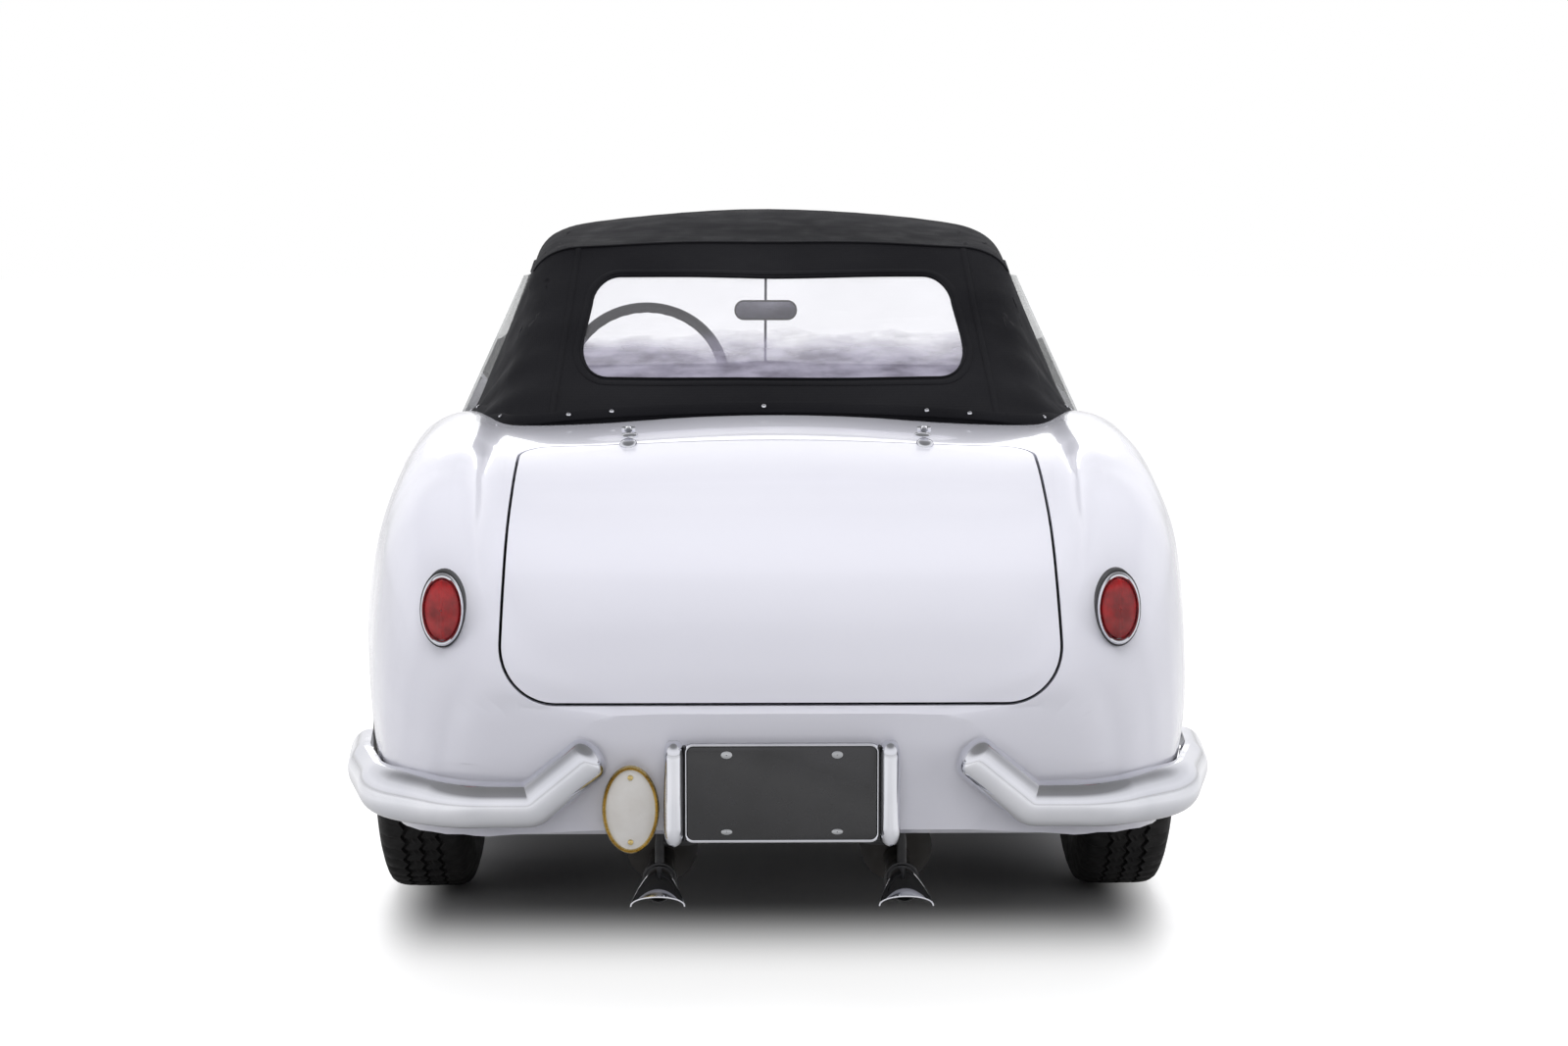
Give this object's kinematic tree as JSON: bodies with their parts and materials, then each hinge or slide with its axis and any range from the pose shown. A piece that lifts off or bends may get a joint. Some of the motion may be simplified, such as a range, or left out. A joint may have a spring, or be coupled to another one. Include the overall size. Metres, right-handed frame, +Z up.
{
  "type": "two-seat roadster convertible",
  "caption": "White two-seat open sports car with its black fabric hood up: opening doors, bonnet and boot, steered front wheels and four wheels that turn.",
  "frame": {"origin": "on the ground, at the centre of the overall length and width", "axes": "+Y forward, +X to the car's right, +Z up"},
  "size_m": [1.554, 4.222, 1.3],
  "materials": {
    "body_paint": "gloss off-white",
    "floor_paint": "satin black underseal",
    "cast_iron": "painted cast iron",
    "exhaust_steel": "dull",
    "chrome": "polished",
    "radiator_black": "matt",
    "amber_lens": "moulded lens",
    "red_lens": "moulded lens",
    "plate_black": "gloss",
    "enamel_white": "enamel",
    "clear_glass": "clear",
    "clear_film": "clear soft sheet",
    "canvas_black": "woven hood cloth",
    "frame_black": "satin",
    "trim_black": "grained",
    "seat_black": "grained",
    "tyre": "matt rubber",
    "wheel_silver": "silver paint"
  },
  "bodies": {
    "body": {"front_body": "body_paint", "rear_body": "body_paint", "floor_pan": "floor_paint", "wheelhouses": "floor_paint", "rear_axle": "floor_paint", "front_suspension": "floor_paint", "gearbox_and_shaft": "floor_paint", "engine_block": "cast_iron", "exhaust_system": "exhaust_steel", "exhaust_tips": "chrome", "grille": "chrome", "front_bumpers": "chrome", "rear_bumpers": "chrome", "plate_holder": "chrome", "windscreen_frame": "chrome", "boot_hinge_bases": "chrome", "headlamps": "chrome", "radiator": "radiator_black", "front_indicators": "amber_lens", "tail_lamps": "red_lens", "number_plate": "plate_black", "oval_plaque": "enamel_white", "windscreen_glass": "clear_glass", "soft_top_window": "clear_film", "soft_top": "canvas_black", "soft_top_frame": "frame_black", "steering_column": "frame_black", "inner_mirror": "frame_black", "dashboard": "trim_black", "gear_lever": "trim_black", "seats": "seat_black"},
    "door_left": {"door_left": "body_paint", "door_glass_left": "clear_glass", "door_handle_left": "chrome"},
    "door_right": {"door_right": "body_paint", "door_glass_right": "clear_glass", "door_handle_right": "chrome"},
    "bonnet": {"bonnet": "body_paint"},
    "boot_lid": {"boot_lid": "body_paint", "boot_hinges": "chrome"},
    "steering_wheel": {"steering_wheel": "trim_black"},
    "knuckle_left": {"knuckle_left": "floor_paint"},
    "knuckle_right": {"knuckle_right": "floor_paint"},
    "wheel_front_left": {"wheel_front_left": "wheel_silver", "tyre_front_left": "tyre"},
    "wheel_front_right": {"wheel_front_right": "wheel_silver", "tyre_front_right": "tyre"},
    "wheel_rear_left": {"wheel_rear_left": "wheel_silver", "tyre_rear_left": "tyre"},
    "wheel_rear_right": {"wheel_rear_right": "wheel_silver", "tyre_rear_right": "tyre"}
  },
  "joints": [
    {"name": "door_right_hinge", "type": "hinge", "parent": "body", "child": "door_right", "pos_m": [0.772, 0.506, 0.6], "axis": [0, 0, 1], "range_deg": [0, 65]},
    {"name": "door_left_hinge", "type": "hinge", "parent": "body", "child": "door_left", "pos_m": [-0.772, 0.506, 0.6], "axis": [0, 0, -1], "range_deg": [0, 65]},
    {"name": "bonnet_hinge", "type": "hinge", "parent": "body", "child": "bonnet", "pos_m": [0, 0.652, 0.906], "axis": [1, 0, 0], "range_deg": [0, 50]},
    {"name": "boot_hinge", "type": "hinge", "parent": "body", "child": "boot_lid", "pos_m": [0, -1.462, 0.903], "axis": [-1, 0, 0], "range_deg": [0, 65]},
    {"name": "steer_left", "type": "hinge", "parent": "body", "child": "knuckle_left", "pos_m": [-0.575, 1.375, 0.327], "axis": [0, 0, 1], "range_deg": [-30, 30]},
    {"name": "steer_right", "type": "hinge", "parent": "body", "child": "knuckle_right", "pos_m": [0.575, 1.375, 0.327], "axis": [0, 0, 1], "range_deg": [-30, 30]},
    {"name": "steering_wheel_turn", "type": "hinge", "parent": "body", "child": "steering_wheel", "pos_m": [-0.28, 0.17, 0.905], "axis": [0, -0.9063, 0.4226], "range_deg": [-540, 540]},
    {"name": "wheel_front_left_spin", "type": "hinge", "parent": "knuckle_left", "child": "wheel_front_left", "pos_m": [-0.652, 1.375, 0.327], "axis": [1, 0, 0], "continuous": true},
    {"name": "wheel_rear_left_spin", "type": "hinge", "parent": "body", "child": "wheel_rear_left", "pos_m": [-0.652, -1.075, 0.327], "axis": [1, 0, 0], "continuous": true},
    {"name": "wheel_front_right_spin", "type": "hinge", "parent": "knuckle_right", "child": "wheel_front_right", "pos_m": [0.652, 1.375, 0.327], "axis": [1, 0, 0], "continuous": true},
    {"name": "wheel_rear_right_spin", "type": "hinge", "parent": "body", "child": "wheel_rear_right", "pos_m": [0.652, -1.075, 0.327], "axis": [1, 0, 0], "continuous": true}
  ],
  "couplings": [
    {"joint": "steer_right", "follows": "steer_left", "ratio": 1},
    {"joint": "steering_wheel_turn", "follows": "steer_left", "ratio": 18}
  ]
}
